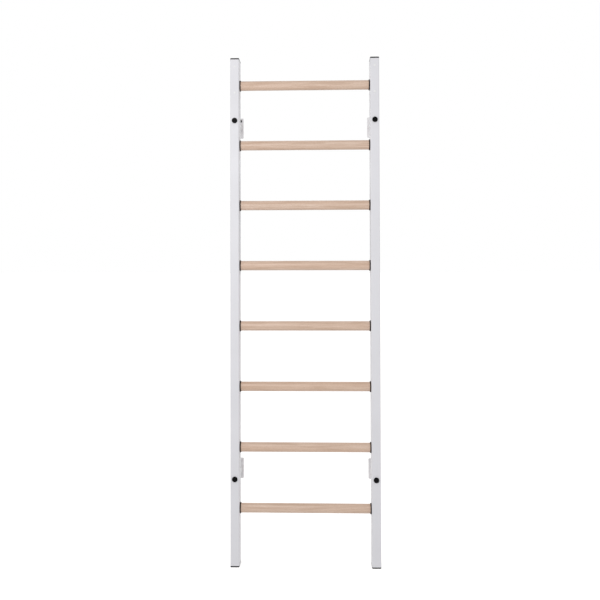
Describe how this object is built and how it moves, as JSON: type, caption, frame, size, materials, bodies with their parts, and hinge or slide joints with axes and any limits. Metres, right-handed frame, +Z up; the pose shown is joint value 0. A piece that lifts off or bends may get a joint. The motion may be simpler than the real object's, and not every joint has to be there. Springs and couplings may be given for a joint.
{
  "type": "wall ladder",
  "caption": "Rigid wall-mounted climbing ladder: two white steel uprights joined by oval beech rungs in dark collars, held off the wall by four brackets with round arms.",
  "frame": {"origin": "on the floor, under the middle of the ladder's width and depth", "axes": "+X across the ladder to the right as seen from the front, +Y towards the wall, +Z up along the uprights"},
  "size_m": [0.6732, 0.1654, 2.279],
  "materials": {
    "rail_paint": "smooth satin powder coat, white",
    "bracket_paint": "satin powder coat, white",
    "beech": "clear-lacquered beech, satin",
    "collar_plastic": "moulded dark brown-black plastic",
    "end_cap_plastic": "fine-grained black plastic",
    "bolt_cap_plastic": "smooth black plastic",
    "plug_plastic": "white plastic",
    "screw_paint": "white painted screw heads",
    "black_screw": "black oxide",
    "zinc_steel": "zinc plated"
  },
  "bodies": {
    "root": {"accessory_plugs": "plug_plastic", "left_bottom_cap": "end_cap_plastic", "left_collar_1": "collar_plastic", "left_collar_2": "collar_plastic", "left_collar_3": "collar_plastic", "left_collar_4": "collar_plastic", "left_collar_5": "collar_plastic", "left_collar_6": "collar_plastic", "left_collar_7": "collar_plastic", "left_collar_8": "collar_plastic", "left_high_arm": "bracket_paint", "left_high_bracket": "bracket_paint", "left_high_wall_screw": "black_screw", "left_low_arm": "bracket_paint", "left_low_bracket": "bracket_paint", "left_rail": "rail_paint", "left_top_cap": "end_cap_plastic", "mounting_bolt_caps": "bolt_cap_plastic", "mounting_bolts": "zinc_steel", "right_bottom_cap": "end_cap_plastic", "right_collar_1": "collar_plastic", "right_collar_2": "collar_plastic", "right_collar_3": "collar_plastic", "right_collar_4": "collar_plastic", "right_collar_5": "collar_plastic", "right_collar_6": "collar_plastic", "right_collar_7": "collar_plastic", "right_collar_8": "collar_plastic", "right_high_arm": "bracket_paint", "right_high_bracket": "bracket_paint", "right_low_arm": "bracket_paint", "right_low_bracket": "bracket_paint", "right_rail": "rail_paint", "right_top_cap": "end_cap_plastic", "rung_1": "beech", "rung_2": "beech", "rung_3": "beech", "rung_4": "beech", "rung_5": "beech", "rung_6": "beech", "rung_7": "beech", "rung_8": "beech", "rung_inserts": "zinc_steel", "rung_screws": "screw_paint", "wall_screws": "screw_paint", "weld_nuts": "zinc_steel"}
  },
  "joints": []
}
